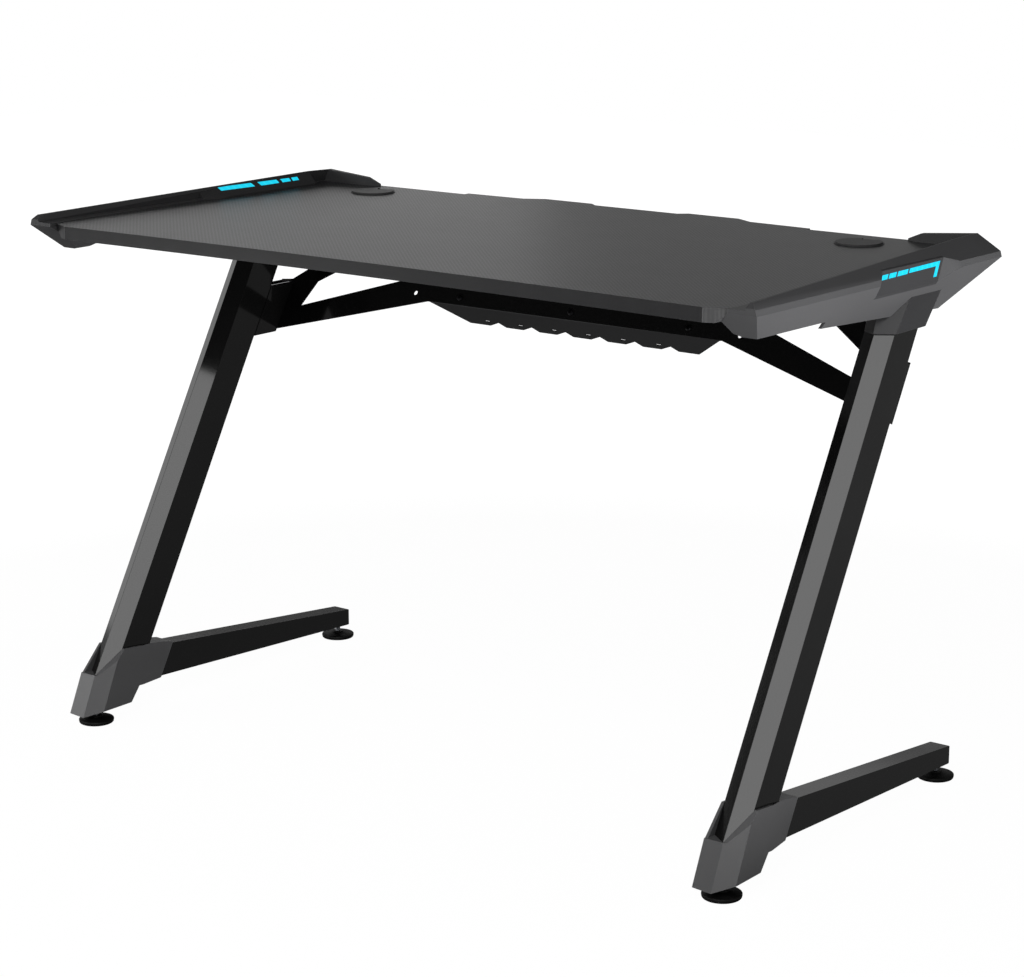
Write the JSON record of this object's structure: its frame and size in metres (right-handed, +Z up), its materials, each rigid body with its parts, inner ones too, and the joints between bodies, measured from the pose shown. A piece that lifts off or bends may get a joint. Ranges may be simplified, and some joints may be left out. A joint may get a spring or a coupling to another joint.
{
  "type": "gaming desk",
  "caption": "Gaming desk on leaning Z legs with lit side wings, a woven-pattern top, turning cable outlets, a cable comb on a folded cross brace and levelling feet.",
  "frame": {"origin": "on the floor under the middle of the desk's overall box", "axes": "+X to the right of a person sitting at the desk, +Y away from them to the rear, +Z up"},
  "size_m": [1.2, 0.634, 0.755],
  "materials": {
    "board_laminate": "particle board wrapped in a matt dark grey laminate with a fine woven pattern",
    "wing_moulding": "dark grey moulded plastic with a fine satin grain",
    "light_panel": "near black satin plastic",
    "light_guide": "cyan diffusing light guide, lit from behind",
    "circuit_board": "solder mask over glass laminate",
    "outlet_moulding": "dark grey moulded plastic",
    "cover_moulding": "dark grey moulded plastic, satin",
    "pad_rubber": "black rubber",
    "zinc_steel": "zinc plated steel",
    "black_steel": "semi-gloss black powder coat",
    "comb_steel": "satin dark grey powder coat"
  },
  "bodies": {
    "desk": {"board_screws": "zinc_steel", "brace_bolts": "zinc_steel", "brace_bracket_left": "black_steel", "brace_bracket_right": "black_steel", "brace_upper_arm_left": "black_steel", "brace_upper_arm_right": "black_steel", "cable_comb": "comb_steel", "comb_screws": "zinc_steel", "cross_rail": "black_steel", "desktop_board": "board_laminate", "foot_end_cap_left": "cover_moulding", "foot_end_cap_right": "cover_moulding", "foot_inserts": "zinc_steel", "foot_tube_left": "black_steel", "foot_tube_right": "black_steel", "grommet_sleeve_left": "outlet_moulding", "grommet_sleeve_right": "outlet_moulding", "inner_led_board_left": "circuit_board", "inner_led_board_right": "circuit_board", "inner_light_bezel_left": "light_panel", "inner_light_bezel_right": "light_panel", "inner_light_guides_left": "light_guide", "inner_light_guides_right": "light_guide", "knee_cover_left": "cover_moulding", "knee_cover_right": "cover_moulding", "leg_base_plate_left": "black_steel", "leg_base_plate_right": "black_steel", "leg_top_plate_left": "black_steel", "leg_top_plate_right": "black_steel", "leg_tube_left": "black_steel", "leg_tube_right": "black_steel", "outer_led_board_left": "circuit_board", "outer_led_board_right": "circuit_board", "outer_light_bezel_left": "light_panel", "outer_light_bezel_right": "light_panel", "outer_light_guides_left": "light_guide", "outer_light_guides_right": "light_guide", "top_cover_left": "cover_moulding", "top_cover_right": "cover_moulding", "wing_screws": "zinc_steel", "wing_shell_left": "wing_moulding", "wing_shell_right": "wing_moulding"},
    "foot_front_right": {"foot_pad_front_right": "pad_rubber", "foot_stud_front_right": "zinc_steel"},
    "foot_front_left": {"foot_pad_front_left": "pad_rubber", "foot_stud_front_left": "zinc_steel"},
    "foot_rear_right": {"foot_pad_rear_right": "pad_rubber", "foot_stud_rear_right": "zinc_steel"},
    "foot_rear_left": {"foot_pad_rear_left": "pad_rubber", "foot_stud_rear_left": "zinc_steel"},
    "outlet_cap_right": {"grommet_cap_right": "outlet_moulding"},
    "outlet_cap_left": {"grommet_cap_left": "outlet_moulding"}
  },
  "joints": [
    {"name": "level_front_right", "type": "slide", "parent": "desk", "child": "foot_front_right", "axis": [0, 0, -1], "range_m": [0, 0.01]},
    {"name": "level_rear_right", "type": "slide", "parent": "desk", "child": "foot_rear_right", "axis": [0, 0, -1], "range_m": [0, 0.01]},
    {"name": "turn_cap_right", "type": "hinge", "parent": "desk", "child": "outlet_cap_right", "pos_m": [0.423, 0.218, 0.735], "axis": [0, 0, 1], "continuous": true},
    {"name": "level_front_left", "type": "slide", "parent": "desk", "child": "foot_front_left", "axis": [0, 0, -1], "range_m": [0, 0.01]},
    {"name": "level_rear_left", "type": "slide", "parent": "desk", "child": "foot_rear_left", "axis": [0, 0, -1], "range_m": [0, 0.01]},
    {"name": "turn_cap_left", "type": "hinge", "parent": "desk", "child": "outlet_cap_left", "pos_m": [-0.423, 0.218, 0.735], "axis": [0, 0, 1], "continuous": true}
  ]
}
